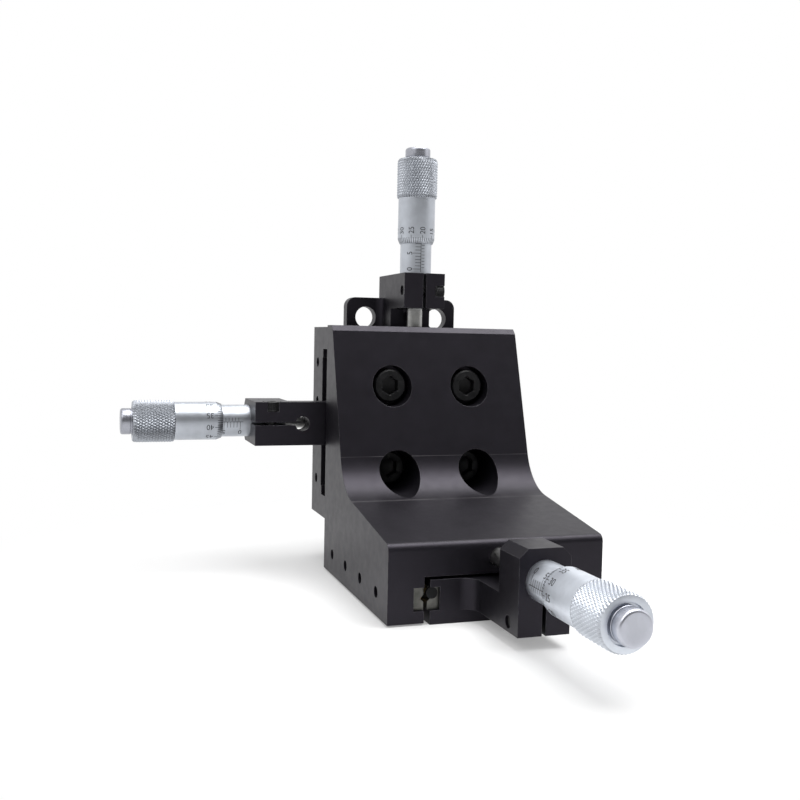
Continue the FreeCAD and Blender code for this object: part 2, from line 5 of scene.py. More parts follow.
import bmesh
import bpy
from mathutils import Matrix, Vector


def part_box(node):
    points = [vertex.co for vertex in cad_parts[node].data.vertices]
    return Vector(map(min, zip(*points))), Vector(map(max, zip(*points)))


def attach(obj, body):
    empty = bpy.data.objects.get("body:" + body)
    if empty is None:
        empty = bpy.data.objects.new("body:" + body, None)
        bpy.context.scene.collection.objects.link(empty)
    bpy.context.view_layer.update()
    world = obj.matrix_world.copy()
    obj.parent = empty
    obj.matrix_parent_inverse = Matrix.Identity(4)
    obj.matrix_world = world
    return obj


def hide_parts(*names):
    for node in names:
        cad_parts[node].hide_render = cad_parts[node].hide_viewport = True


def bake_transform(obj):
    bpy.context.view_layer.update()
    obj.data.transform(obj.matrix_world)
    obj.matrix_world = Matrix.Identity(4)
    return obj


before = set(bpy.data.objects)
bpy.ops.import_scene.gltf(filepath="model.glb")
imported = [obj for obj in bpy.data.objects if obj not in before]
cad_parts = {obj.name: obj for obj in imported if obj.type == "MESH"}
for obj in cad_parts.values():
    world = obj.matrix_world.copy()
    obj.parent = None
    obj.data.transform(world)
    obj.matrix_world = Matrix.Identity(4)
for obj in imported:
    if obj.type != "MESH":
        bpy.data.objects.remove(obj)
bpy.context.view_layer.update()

MM = 0.001
TURN = 2 * math.pi

# Micrometer heads, in mm: where the holder's outer face meets the axis, the direction away from
# it, the direction that the sleeve's datum line faces, the thimble edge's distance at rest, the
# reading that the scales show, the body that carries the sleeve, and a factor on that head's chrome
# colour that paints the light falling on it, brighter for y and darker for x.
HEADS = {
    "x": dict(origin=(-51.4, 48.3, 45.0), outward=(-1, 0, 0), datum=(0, -1, 0),
              edge=8.6, reading=5.378, body="bracket", painted_light=0.9),
    "y": dict(origin=(0.0, -58.5, 16.4), outward=(0, -1, 0), datum=(-1, 0, 0),
              edge=8.9, reading=6.253, body="base", painted_light=1.35),
    "z": dict(origin=(1.0, 41.0, 92.5), outward=(0, 0, 1), datum=(0, -1, 0),
              edge=9.7, reading=8.202, body="payload", painted_light=1.0),
}
TRAVEL = 13
DIVISIONS = 50
THREAD_PITCH = 0.5
SLEEVE_RADIUS = 5.0

# Thimble, from its bevelled edge to the cap. Lengths run along the axis.
BORE_RADIUS = 5.15
BORE_DEPTH = 24.0
EDGE_RADIUS = 5.35
BEVEL = 1.5
BARREL_RADIUS = 5.9
BARREL = 14.4
KNURL_RADIUS = 6.5
KNURL = 12.5
KNURL_END = 0.3           # from the grip's ends to its first and last row
KNURL_DEPTH = 0.36
KNURL_STARTS = 45         # grooves of one set round the grip
KNURL_SAMPLES = 4         # columns, and rows, to a groove
KNURL_STEP = 0.415        # from row to row
GROOVE_DIRT_AND_SHADE = 0.3         # how dark the grooves' floors are made: dirt and painted shade
CAP_RADIUS = 4.0
CAP = 3.5
CAP_ROUNDING = 0.7
POCKET = 1.0
POCKET_RADIUS = CAP_RADIUS + 0.5

# Graduations
LINE_HALF = 0.07
NUMERAL_HEIGHT = 1.75
NUMERAL_WIDTH = 0.92      # their width against the font's own
NUMERAL_SLICES = 8        # cuts that let a numeral follow the curve under it
INK_LIFT = 0.02           # ink above the metal

# Socket-head screws: thread radius, head radius, head height, socket across flats.
M6_CAP = (3.0, 5.0, 6.0, 5.0)
M6_LENGTH = 12.0
M3_CAP = (1.5, 2.75, 3.0, 2.5)
BOLT_SEAT = 29.0
BOLT_COLUMNS = (-12.5, 12.5)
BOLT_ROWS = (32.5, 57.5)

# Clamp screws: the side that the head is on, and a direction across for the hexagon.
CLAMPS = {"x": ((0, 0, 1), (0, 1, 0)), "y": ((1, 0, 0), (0, 1, 0)), "z": ((1, 0, 0), (0, 0, 1))}

# Return springs: the body that holds the pin and the one that holds the post.
SPRINGS = {"x": ("bracket", "block"), "y": ("base", "bracket"), "z": ("payload", "block")}
WIRE_RADIUS = 0.3
LOOP_RADIUS = 1.6
LOOP_OPENS = 25           # degrees of the loop left open on each side
LOOP_STEPS = 36
COIL_RADIUS = 1.7
COIL_INSET = 2.0          # from the pin's or post's middle to the first coil
COIL_TURNS = 16.25
COIL_STEPS = 20           # to a turn

# Heights of the painted highlight lines across the bracket's front, where its throat meets the faces above
# and below it.
THROAT_HIGHLIGHT_HEIGHTS = (36.97, 25.99)

# Studio: lights as name, place, size and power, in metres and watts.
LIGHTS_AIM = (0, 0, 0.05)
SOFTBOXES = (
    ("key_above", (0.16, -0.02, 0.8), 0.65, 8.0),
    ("key_left", (-0.5, -0.3, 0.65), 0.5, 1.9),
    ("fill_right", (0.85, -0.3, 0.5), 0.5, 0.6),
)
CAMERA_PLACE = (-0.10429, -0.26216, 0.07219)
CAMERA_YAW, CAMERA_PITCH, CAMERA_ROLL = 0.3215, 0.0633, 0.0208
CAMERA_LENS = 44.43
CAMERA_SENSOR = 36


# ---------------------------------------------------------------- materials

class Surface:
    """One procedural material in part coordinates."""

    def __init__(self, name, metallic=0.0, specular=0.5):
        self.material = bpy.data.materials.new(name)
        self.material.use_nodes = True
        self.nodes = self.material.node_tree.nodes
        self.links = self.material.node_tree.links
        self.shader = self.nodes["Principled BSDF"]
        self.shader.inputs["Metallic"].default_value = metallic
        self.shader.inputs["Specular IOR Level"].default_value = specular
        self.place = self.nodes.new("ShaderNodeTexCoord").outputs["Object"]

    def noise(self, scale, detail=2.0, stretch=(1, 1, 1)):
        mapping = self.nodes.new("ShaderNodeMapping")
        mapping.inputs["Scale"].default_value = stretch
        texture = self.nodes.new("ShaderNodeTexNoise")
        texture.inputs["Scale"].default_value = scale
        texture.inputs["Detail"].default_value = detail
        self.links.new(self.place, mapping.inputs["Vector"])
        self.links.new(mapping.outputs["Vector"], texture.inputs["Vector"])
        return texture.outputs["Fac"]

    def spread(self, value, low, high, to_low, to_high):
        """A value mapped from one range to another, and held at its ends."""
        node = self.nodes.new("ShaderNodeMapRange")
        for name, number in (("From Min", low), ("From Max", high), ("To Min", to_low), ("To Max", to_high)):
            node.inputs[name].default_value = number
        self.links.new(value, node.inputs["Value"])
        return node.outputs["Result"]

    def product(self, first, second):
        """Two values multiplied."""
        node = self.nodes.new("ShaderNodeMath")
        node.operation = "MULTIPLY"
        self.links.new(first, node.inputs[0])
        self.links.new(second, node.inputs[1])
        return node.outputs["Value"]

    def mix(self, fac, first, second):
        """A colour between two; each is a colour or another node's output."""
        node = self.nodes.new("ShaderNodeMix")
        node.data_type = "RGBA"
        self.links.new(fac, node.inputs[0])
        for socket, colour in ((node.inputs[6], first), (node.inputs[7], second)):
            if isinstance(colour, tuple):
                socket.default_value = (*colour, 1)
            else:
                self.links.new(colour, socket)
        return node.outputs[2]

    def rounding(self, radius):
        """Normals rounded over the edges, and a mask that is 1 on them."""
        bevel = self.nodes.new("ShaderNodeBevel")
        bevel.samples = 4
        bevel.inputs["Radius"].default_value = radius * MM
        geometry = self.nodes.new("ShaderNodeNewGeometry")
        dot = self.nodes.new("ShaderNodeVectorMath")
        dot.operation = "DOT_PRODUCT"
        self.links.new(bevel.outputs["Normal"], dot.inputs[0])
        self.links.new(geometry.outputs["Normal"], dot.inputs[1])
        return bevel.outputs["Normal"], self.spread(dot.outputs["Value"], 0.995, 0.93, 0, 1)

    def finish(self, colour, roughness, height, strength, distance, normal=None):
        """Joins colour, roughness and bump to the shader; the bump's distance is in mm."""
        self.links.new(colour, self.shader.inputs["Base Color"])
        self.links.new(roughness, self.shader.inputs["Roughness"])
        bump = self.nodes.new("ShaderNodeBump")
        bump.inputs["Strength"].default_value = strength
        bump.inputs["Distance"].default_value = distance * MM
        self.links.new(height, bump.inputs["Height"])
        if normal is not None:
            self.links.new(normal, bump.inputs["Normal"])
        self.links.new(bump.outputs["Normal"], self.shader.inputs["Normal"])
        return self.material


def front_line(s, height):
    """A mask that is 1 along a level line on faces that look towards the front."""
    geometry = s.nodes.new("ShaderNodeNewGeometry")
    facing = s.nodes.new("ShaderNodeSeparateXYZ")
    s.links.new(geometry.outputs["Normal"], facing.inputs["Vector"])
    point = s.nodes.new("ShaderNodeSeparateXYZ")
    s.links.new(s.place, point.inputs["Vector"])
    gap = s.nodes.new("ShaderNodeMath")
    gap.operation = "COMPARE"
    gap.inputs[1].default_value = height * MM
    gap.inputs[2].default_value = 0.06 * MM
    s.links.new(point.outputs["Z"], gap.inputs[0])
    return s.product(gap.outputs["Value"], s.spread(facing.outputs["Y"], -0.1, -0.2, 0, 1))


def anodised(name, highlight_heights=()):
    """Fine-blasted black anodised aluminium, worn bright in places along its edges and lightened a little
    along all of them as a painted edge highlight, with thin painted highlight lines where a hollow meets
    the faces beside it."""
    s = Surface(name, specular=0.34)
    s.shader.inputs["Specular Tint"].default_value = (0.90, 0.83, 1.0, 1)
    normal, edge = s.rounding(0.22)
    tint = s.spread(s.noise(140, 3), 0.35, 0.65, 0, 1)
    # worn bright in places along the edges, and every edge lightened a little as a painted edge highlight
    wear_and_edge_highlight = s.product(edge, s.spread(s.noise(900, 4), 0.42, 0.62, 0.12, 0.55))
    colour = s.mix(tint, (0.0040, 0.0037, 0.0050), (0.0058, 0.0054, 0.0072))
    colour = s.mix(wear_and_edge_highlight, colour, (0.17, 0.17, 0.18))
    # painted highlight: thin lighter lines on the front faces, at the heights where the throat meets the
    # faces above and below it
    for height in highlight_heights:
        highlight_line = s.product(front_line(s, height), s.spread(s.noise(60, 2), 0.35, 0.65, 0.3, 1.0))
        colour = s.mix(highlight_line, colour, (0.11, 0.105, 0.11))
    roughness = s.spread(s.noise(420, 3), 0.3, 0.7, 0.38, 0.44)
    return s.finish(colour, roughness, s.noise(7000, 2), 0.12, 0.02, normal)


def from_axis(s, origin, axis):
    """The distance in mm from one of the heads' axes."""
    offset = s.nodes.new("ShaderNodeVectorMath")
    offset.operation = "SUBTRACT"
    offset.inputs[1].default_value = [c * MM for c in origin]
    s.links.new(s.place, offset.inputs[0])
    across = s.nodes.new("ShaderNodeVectorMath")
    across.operation = "MULTIPLY"
    across.inputs[1].default_value = [0 if letter == axis else 1 / MM for letter in "xyz"]
    s.links.new(offset.outputs["Vector"], across.inputs[0])
    length = s.nodes.new("ShaderNodeVectorMath")
    length.operation = "LENGTH"
    s.links.new(across.outputs["Vector"], length.inputs[0])
    return length.outputs["Value"]


def turned_metal(name, dark, light, rough, smooth, axis, grain=0.08):
    """Metal turned about one of the part's axes: fine rings round it, a soft tonal drift, a painted highlight
    along its edges, and dirt and painted shade in the grooves of the grip."""
    s = Surface(name, metallic=1.0)
    normal, edge = s.rounding(0.08)
    stretch = [0.04, 0.04, 0.04]
    stretch["xyz".index(axis)] = 1.0
    rings = s.noise(5200, 2, tuple(stretch))
    drift = s.spread(s.noise(260, 3), 0.35, 0.65, 0, 1)
    colour = s.mix(drift, dark, light)
    # painted highlight: every edge is lightened towards a brighter copy of the light colour
    colour = s.mix(s.spread(edge, 0, 1, 0, 0.35), colour, tuple(min(1.0, c * 1.25) for c in light))
    radius = from_axis(s, HEADS[axis]["origin"], axis)
    # dirt and painted shade: the grip's grooves are darkened towards their floors
    groove_dirt_and_shade = s.product(s.spread(radius, KNURL_RADIUS - 0.3, KNURL_RADIUS - 0.06, GROOVE_DIRT_AND_SHADE, 0),
                       s.spread(radius, BARREL_RADIUS + 0.03, BARREL_RADIUS + 0.13, 0, 1))
    colour = s.mix(groove_dirt_and_shade, colour, (0.05, 0.052, 0.06))
    roughness = s.spread(rings, 0.3, 0.7, smooth, rough)
    return s.finish(colour, roughness, rings, grain, 0.015, normal)


def plain_metal(name, dark, light, rough, smooth, stretch=(1, 1, 1), scale=2600,
                metallic=1.0, specular=0.5, grain=0.1):
    """Ground, drawn, oxidised or rolled metal, its grain set by the stretch."""
    s = Surface(name, metallic=metallic, specular=specular)
    normal, edge = s.rounding(0.1)
    lines = s.noise(scale, 3, stretch)
    drift = s.spread(s.noise(500, 4), 0.35, 0.65, 0, 1)
    colour = s.mix(drift, dark, light)
    # worn bright in places along the edges, and every edge lightened a little as a painted edge highlight
    wear_and_edge_highlight = s.product(edge, s.spread(s.noise(1500, 3), 0.4, 0.6, 0.1, 0.5))
    colour = s.mix(wear_and_edge_highlight, colour, tuple(min(1.0, 0.12 + c * 1.2) for c in light))
    roughness = s.spread(lines, 0.3, 0.7, smooth, rough)
    return s.finish(colour, roughness, lines, grain, 0.012, normal)


def ink():
    """Black fill of the engraved scales, a little uneven."""
    s = Surface("scale_ink", specular=0.3)
    colour = s.mix(s.spread(s.noise(3000, 3), 0.4, 0.6, 0, 1), (0.006, 0.006, 0.008), (0.02, 0.02, 0.024))
    roughness = s.spread(s.noise(1800), 0.3, 0.7, 0.5, 0.65)
    return s.finish(colour, roughness, s.noise(9000), 0.05, 0.005)


def brighter(colour, factor):
    return tuple(factor * c for c in colour)


def make_materials():
    lengthwise = (0.15, 0.15, 1)
    made = {
        "black_anodised": anodised("anodised_black"),
        "bracket_anodised": anodised("anodised_bracket", THROAT_HIGHLIGHT_HEIGHTS),
        "bearing_steel": plain_metal("roller_steel", (0.55, 0.55, 0.56), (0.66, 0.66, 0.67), 0.24, 0.14),
        "cage_brass": plain_metal("rolled_brass", (0.46, 0.32, 0.12), (0.6, 0.43, 0.18), 0.42, 0.28,
                                  (0.2, 0.2, 1)),
        "black_oxide_steel": plain_metal("oxide_black", (0.004, 0.004, 0.0045), (0.009, 0.009, 0.01),
                                         0.42, 0.31, metallic=0.0, specular=0.17, grain=0.14),
        # painted shade: the rails' steel is set far darker than the ground steel, for the shade in their
        # channels
        "rail_steel": plain_metal("rail_steel", (0.10, 0.10, 0.092), (0.16, 0.158, 0.146), 0.5, 0.38,
                                  lengthwise, 3600),
        "ground_steel": plain_metal("ground_steel", (0.32, 0.32, 0.31), (0.42, 0.42, 0.41), 0.4, 0.26,
                                    lengthwise, 3600),
        "spring_steel": plain_metal("drawn_wire", (0.3, 0.3, 0.31), (0.45, 0.45, 0.46), 0.4, 0.25),
        "ink": ink(),
    }
    for axis, head in HEADS.items():
        # painted light and shade: each head's chrome colours are scaled by its factor for the light on that
        # head
        satin = [brighter(c, head["painted_light"]) for c in ((0.49, 0.515, 0.56), (0.55, 0.58, 0.63))]
        bright = [brighter(c, head["painted_light"]) for c in ((0.38, 0.39, 0.43), (0.44, 0.45, 0.50))]
        made["satin_chrome_" + axis] = turned_metal("satin_chrome_" + axis, *satin, 0.46, 0.36, axis)
        made["bright_chrome_" + axis] = turned_metal("bright_chrome_" + axis, *bright, 0.38, 0.28, axis, 0.05)
    return made


MATERIALS = make_materials()


def material_for(slot, node):
    """The material of a slot; chrome and steel pieces of a head are turned about its axis."""
    if slot in ("satin_chrome", "bright_chrome"):
        return MATERIALS[slot + "_" + node[0]]
    if node == "l_bracket":
        return MATERIALS["bracket_anodised"]
    # the rails take the darker steel that paints their shade
    if node.endswith("_rails"):
        return MATERIALS["rail_steel"]
    return MATERIALS[slot]


def dress_cad():
    """Gives each node of the frame its finish."""
    for name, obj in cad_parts.items():
        for slot in obj.material_slots:
            kind = slot.material.name.split(".")[0]
            slot.material = material_for(kind, name)


# ---------------------------------------------------------------- mesh helpers

def make_piece(name, points, faces, material, body, stands_for=(), sharp=35):
    """A mesh piece from points in mm in the part's frame, riding on a body if one is given."""
    mesh = bpy.data.meshes.new(name)
    mesh.from_pydata([tuple(c * MM for c in p) for p in points], [], faces)
    mesh.validate()
    tidy = bmesh.new()
    tidy.from_mesh(mesh)
    bmesh.ops.recalc_face_normals(tidy, faces=tidy.faces)
    tidy.to_mesh(mesh)
    tidy.free()
    mesh.shade_smooth()
    mesh.set_sharp_from_angle(angle=math.radians(sharp))
    mesh.materials.append(MATERIALS[material])
    obj = bpy.data.objects.new(name, mesh)
    bpy.context.scene.collection.objects.link(obj)
    if body:
        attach(obj, body)
    if stands_for:
        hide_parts(*stands_for)
    return obj


class Axis:
    """A turning axis: distances along it, and angles from a zero direction towards its left."""

    def __init__(self, origin, outward, datum):
        self.origin = Vector(origin)
        self.outward = Vector(outward).normalized()
        self.datum = Vector(datum).normalized()
        self.left = self.datum.cross(self.outward)

    def at(self, distance, radius, angle):
        across = self.datum * math.cos(angle) + self.left * math.sin(angle)
        return self.origin + self.outward * distance + across * radius


class Lathe:
    """Rows of points round an axis, joined into one closed surface."""

    def __init__(self, axis, count):
        self.axis = axis
        self.count = count
        self.points = []
        self.faces = []
        self.last = None

    def row(self, distance, radius, split=None):
        """Adds a row; radius is a number or a function of the point's index. Split says which diagonal
        of a cell is an edge, from the index of its first corner; without it cells stay whole."""
        count = self.count
        start = len(self.points)
        for k in range(count):
            r = radius(k) if callable(radius) else radius
            self.points.append(self.axis.at(distance, r, TURN * k / count))
        if self.last is not None:
            for k in range(count):
                a, b = self.last + k, self.last + (k + 1) % count
                c, d = start + (k + 1) % count, start + k
                if split is None:
                    self.faces.append((a, b, c, d))
                elif split(k):
                    self.faces += [(a, b, c), (a, c, d)]
                else:
                    self.faces += [(a, b, d), (b, c, d)]
        self.last = start

    def tip(self, distance):
        """Closes the surface at a point on the axis."""
        here = len(self.points)
        self.points.append(self.axis.at(distance, 0, 0))
        for k in range(self.count):
            self.faces.append((self.last + k, self.last + (k + 1) % self.count, here))
        self.last = None

    def start_tip(self, distance, next_distance, next_radius):
        """Opens the surface with a disc from a point on the axis."""
        here = len(self.points)
        self.points.append(self.axis.at(distance, 0, 0))
        self.row(next_distance, next_radius)
        for k in range(self.count):
            self.faces.append((here, self.last + (k + 1) % self.count, self.last + k))


# ---------------------------------------------------------------- micrometer heads

def knurl_radius(row, column):
    """Two crossing sets of V grooves."""
    along = abs((row + column) / KNURL_SAMPLES % 1 - 0.5) * 2
    across = abs((row - column) / KNURL_SAMPLES % 1 - 0.5) * 2
    return KNURL_RADIUS - KNURL_DEPTH * max(along, across)


def thimble(name, axis, edge):
    """Bevelled scale edge, smooth barrel and a diamond-knurled grip."""
    barrel = edge + BARREL
    end = barrel + KNURL
    lathe = Lathe(axis, KNURL_SAMPLES * KNURL_STARTS)
    lathe.start_tip(edge + BORE_DEPTH, edge + BORE_DEPTH, BORE_RADIUS)
    for distance, radius in (
            (edge + 0.1, BORE_RADIUS),
            (edge, BORE_RADIUS + 0.05),
            (edge, EDGE_RADIUS - 0.05),
            (edge + 0.06, EDGE_RADIUS),
            (edge + BEVEL - 0.1, BARREL_RADIUS - 0.035),
            (edge + BEVEL + 0.1, BARREL_RADIUS),
            (barrel, BARREL_RADIUS)):
        lathe.row(distance, radius)
    first = barrel + KNURL_END
    count = int((end - KNURL_END - first) / KNURL_STEP)
    for j in range(count + 1):
        ends = 0.14 if j in (0, count) else 0.0
        split = (lambda k: False) if j else None
        lathe.row(first + j * KNURL_STEP, lambda k: knurl_radius(j, k) - ends, split)
    for distance, radius in (
            (end - 0.04, KNURL_RADIUS - 0.5),
            (end, KNURL_RADIUS - 0.6),
            (end, POCKET_RADIUS + 0.05),
            (end - 0.05, POCKET_RADIUS),
            (end - POCKET, POCKET_RADIUS)):
        lathe.row(distance, radius)
    lathe.tip(end - POCKET)
    make_piece(name + "_thimble_turned", lathe.points, lathe.faces, "satin_chrome_" + name,
               name + "_thimble", [name + "_thimble"])


def cap(name, axis, edge):
    """Polished end cap with a rounded rim and a faint turned ring on its face."""
    end = edge + BARREL + KNURL
    outer = end + CAP
    lathe = Lathe(axis, 72)
    lathe.start_tip(end - POCKET, end - POCKET, CAP_RADIUS)
    neck = CAP_RADIUS - 0.1
    for distance, radius in ((0.25, CAP_RADIUS), (0.35, neck), (0.6, neck), (0.7, CAP_RADIUS)):
        lathe.row(end + distance, radius)
    for i in range(7):
        angle = math.radians(15 * i)
        lathe.row(outer - CAP_ROUNDING + CAP_ROUNDING * math.sin(angle),
                  CAP_RADIUS - CAP_ROUNDING + CAP_ROUNDING * math.cos(angle))
    lathe.row(outer - 0.06, CAP_RADIUS - 1.5)
    lathe.row(outer - 0.1, CAP_RADIUS - 3.2)
    lathe.tip(outer - 0.1)
    make_piece(name + "_thimble_cap_turned", lathe.points, lathe.faces, "bright_chrome_" + name,
               name + "_thimble", [name + "_thimble_cap"], 40)


class Ink:
    """Engraved and filled lines and numerals, wrapped on a turned surface."""

    def __init__(self, axis, radius):
        self.axis = axis
        self.radius = radius
        self.points = []
        self.faces = []

    def on(self, distance, arc):
        """A point at a distance along the axis, and an arc length to the left of the datum."""
        radius = self.radius(distance)
        return self.axis.at(distance, radius + INK_LIFT, arc / radius)

    def patch(self, d0, d1, a0, a1):
        """A rectangle between two distances and two arc lengths, cut so that it follows the curve."""
        steps = max(1, math.ceil(abs(a1 - a0) / 0.35))
        for i in range(steps):
            low, high = a0 + (a1 - a0) * i / steps, a0 + (a1 - a0) * (i + 1) / steps
            start = len(self.points)
            self.points += [self.on(d0, low), self.on(d1, low), self.on(d1, high), self.on(d0, high)]
            self.faces.append((start, start + 1, start + 2, start + 3))

    def text(self, words, distance, arc):
        """Numerals centred at a place; they read outward, and their tops point left."""
        font = bpy.data.curves.new("numeral", "FONT")
        font.body = words
        font.align_x = "CENTER"
        font.align_y = "CENTER"
        holder = bpy.data.objects.new("numeral", font)
        bpy.context.scene.collection.objects.link(holder)
        bpy.context.view_layer.update()
        graph = bpy.context.evaluated_depsgraph_get()
        flat = bpy.data.meshes.new_from_object(holder.evaluated_get(graph))
        bpy.data.objects.remove(holder)
        bpy.data.curves.remove(font)
        work = bmesh.new()
        work.from_mesh(flat)
        bpy.data.meshes.remove(flat)
        low = min(v.co.y for v in work.verts)
        tall = max(v.co.y for v in work.verts) - low
        middle = (max(v.co.x for v in work.verts) + min(v.co.x for v in work.verts)) / 2
        scale = NUMERAL_HEIGHT / tall
        for i in range(1, NUMERAL_SLICES):
            plane = Vector((0, low + tall * i / NUMERAL_SLICES, 0))
            geometry = work.verts[:] + work.edges[:] + work.faces[:]
            bmesh.ops.bisect_plane(work, geom=geometry, plane_co=plane, plane_no=(0, 1, 0))
        start = len(self.points)
        work.verts.index_update()
        for v in work.verts:
            along = distance + (v.co.x - middle) * scale * NUMERAL_WIDTH
            self.points.append(self.on(along, arc + (v.co.y - low) * scale - NUMERAL_HEIGHT / 2))
        for f in work.faces:
            self.faces.append(tuple(start + v.index for v in f.verts))
        work.free()

    def make(self, name, body):
        """The ink as a piece of its own, riding on a body."""
        mesh = bpy.data.meshes.new(name)
        mesh.from_pydata([tuple(c * MM for c in p) for p in self.points], [], self.faces)
        mesh.materials.append(MATERIALS["ink"])
        obj = bpy.data.objects.new(name, mesh)
        bpy.context.scene.collection.objects.link(obj)
        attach(obj, body)
        return obj


def sleeve_scale(name, axis, head):
    """Datum line, millimetres on its left, half millimetres on its right, and numerals."""
    zero = head["edge"] - head["reading"]
    marks = Ink(axis, lambda distance: SLEEVE_RADIUS)
    marks.patch(zero - 0.9, zero + TRAVEL + 1.5, -0.08, 0.08)
    for i in range(TRAVEL + 1):
        reach = 2.6 if i % 5 == 0 else 1.8
        marks.patch(zero + i - LINE_HALF, zero + i + LINE_HALF, 0.0, reach)
        if i < TRAVEL:
            marks.patch(zero + i + 0.5 - LINE_HALF, zero + i + 0.5 + LINE_HALF, -1.3, -0.25)
        if i % 5 == 0:
            marks.text(str(i), zero + i, 3.65)
    marks.make(name + "_sleeve_scale", head["body"])


def thimble_scale(name, axis, head):
    """Fifty divisions round the bevel, each fifth one longer and numbered."""
    edge = head["edge"]
    at_datum = head["reading"] % THREAD_PITCH / THREAD_PITCH * DIVISIONS

    def radius(distance):
        on_bevel = min(1.0, max(0.0, (distance - edge) / BEVEL))
        return EDGE_RADIUS + (BARREL_RADIUS - EDGE_RADIUS) * on_bevel

    marks = Ink(axis, radius)
    for value in range(DIVISIONS):
        angle = (value - at_datum) * TURN / DIVISIONS
        reach = 2.5 if value % 5 == 0 else 1.7
        for d0, d1 in ((edge + 0.06, edge + BEVEL), (edge + BEVEL, edge + reach)):
            start = len(marks.points)
            for distance, side in ((d0, -1), (d1, -1), (d1, 1), (d0, 1)):
                r = radius(distance) + INK_LIFT
                marks.points.append(axis.at(distance, r, angle + side * 0.075 / r))
            marks.faces.append((start, start + 1, start + 2, start + 3))
        if value % 5 == 0:
            marks.text(str(value), edge + 3.95, angle * BARREL_RADIUS)
    marks.make(name + "_thimble_scale", name + "_thimble")


def make_heads():
    """Thimble, cap and scales of each head."""
    for name, head in HEADS.items():
        axis = Axis(head["origin"], head["outward"], head["datum"])
        thimble(name, axis, head["edge"])
        cap(name, axis, head["edge"])
        sleeve_scale(name, axis, head)
        thimble_scale(name, axis, head)


# ---------------------------------------------------------------- socket-head screws

def cap_screw(points, faces, seat, towards_head, zero, sizes):
    """Adds a socket-head cap screw: knurled head with a chamfer, hexagon socket and plain shank.
    Its seat is where the head's underside meets the axis, and the sizes end with the shank's length."""
    thread, head, height, flats, shank = sizes
    axis = Axis(seat, towards_head, zero)
    lathe = Lathe(axis, 72)

    def hexagon(k):
        around = math.radians(5 * k) % math.radians(60)
        return flats / 2 / math.cos(around - math.radians(30))

    lathe.start_tip(-shank, -shank, thread - 0.35)
    lathe.row(-shank + 0.35, thread)
    lathe.row(0, thread)
    lathe.row(0, head * 0.94)
    lathe.row(height * 0.05, head)
    lathe.row(height * 0.14, head)
    rib = head * 0.965
    lathe.row(height * 0.16, lambda k: head if k % 2 else rib)
    lathe.row(height * 0.84, lambda k: head if k % 2 else rib)
    lathe.row(height * 0.86, head * 0.995)
    lathe.row(height * 0.94, head * 0.985)
    lathe.row(height, head * 0.9)
    lathe.row(height, flats * 0.605)
    lathe.row(height - flats * 0.045, hexagon)
    lathe.row(height * 0.48, hexagon)
    lathe.row(height * 0.47, flats * 0.42)
    lathe.tip(height * 0.36)
    start = len(points)
    points += lathe.points
    faces += [tuple(start + i for i in face) for face in lathe.faces]


def make_screws():
    """The bracket's four cap screws, and a clamp screw in each holder."""
    points, faces = [], []
    for x in BOLT_COLUMNS:
        for z in BOLT_ROWS:
            cap_screw(points, faces, (x, BOLT_SEAT, z), (0, -1, 0), (0, 0, 1), (*M6_CAP, M6_LENGTH))
    make_piece("bracket_cap_screws", points, faces, "black_oxide_steel", "bracket",
               ["bracket_bolts"], 30)
    head_height = M3_CAP[2]
    for name, (towards_head, zero) in CLAMPS.items():
        low, high = (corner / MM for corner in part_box(name + "_clamp_screw"))
        direction = Vector(towards_head)
        length = (high - low) @ direction
        seat = (low + high) / 2 + direction * (length / 2 - head_height)
        points, faces = [], []
        cap_screw(points, faces, seat, direction, zero, (*M3_CAP, length - head_height))
        make_piece(name + "_clamp_cap_screw", points, faces, "black_oxide_steel", HEADS[name]["body"],
                   [name + "_clamp_screw"], 30)


# ---------------------------------------------------------------- return springs

def wire(path, radius, sides=8):
    """Points and faces of a round wire that follows a path, closed at both ends."""
    points, faces = [], []
    across = None
    for i, here in enumerate(path):
        along = (path[min(i + 1, len(path) - 1)] - path[max(i - 1, 0)]).normalized()
        if across is None:
            across = along.orthogonal()
        across = (across - along * across.dot(along)).normalized()
        other = along.cross(across)
        for k in range(sides):
            angle = TURN * k / sides
            points.append(here + (across * math.cos(angle) + other * math.sin(angle)) * radius)
    for i in range(len(path) - 1):
        for k in range(sides):
            a, b = i * sides + k, i * sides + (k + 1) % sides
            faces.append((a, b, b + sides, a + sides))
    faces.append(tuple(range(sides)))
    faces.append(tuple(range((len(path) - 1) * sides, len(path) * sides)))
    return points, faces


def longest_side(low, high):
    """The unit vector along a box's longest side."""
    sides = high - low
    most = max(range(3), key=lambda i: sides[i])
    return Vector([1.0 if i == most else 0.0 for i in range(3)])


def loop(middle, towards_coil, side):
    """A loop of the spring's path round a pin or post, open towards the coil."""
    path = []
    for i in range(LOOP_STEPS + 1):
        angle = math.radians(LOOP_OPENS + (360 - 2 * LOOP_OPENS) * i / LOOP_STEPS)
        path.append(middle + (towards_coil * math.cos(angle) + side * math.sin(angle)) * LOOP_RADIUS)
    return path


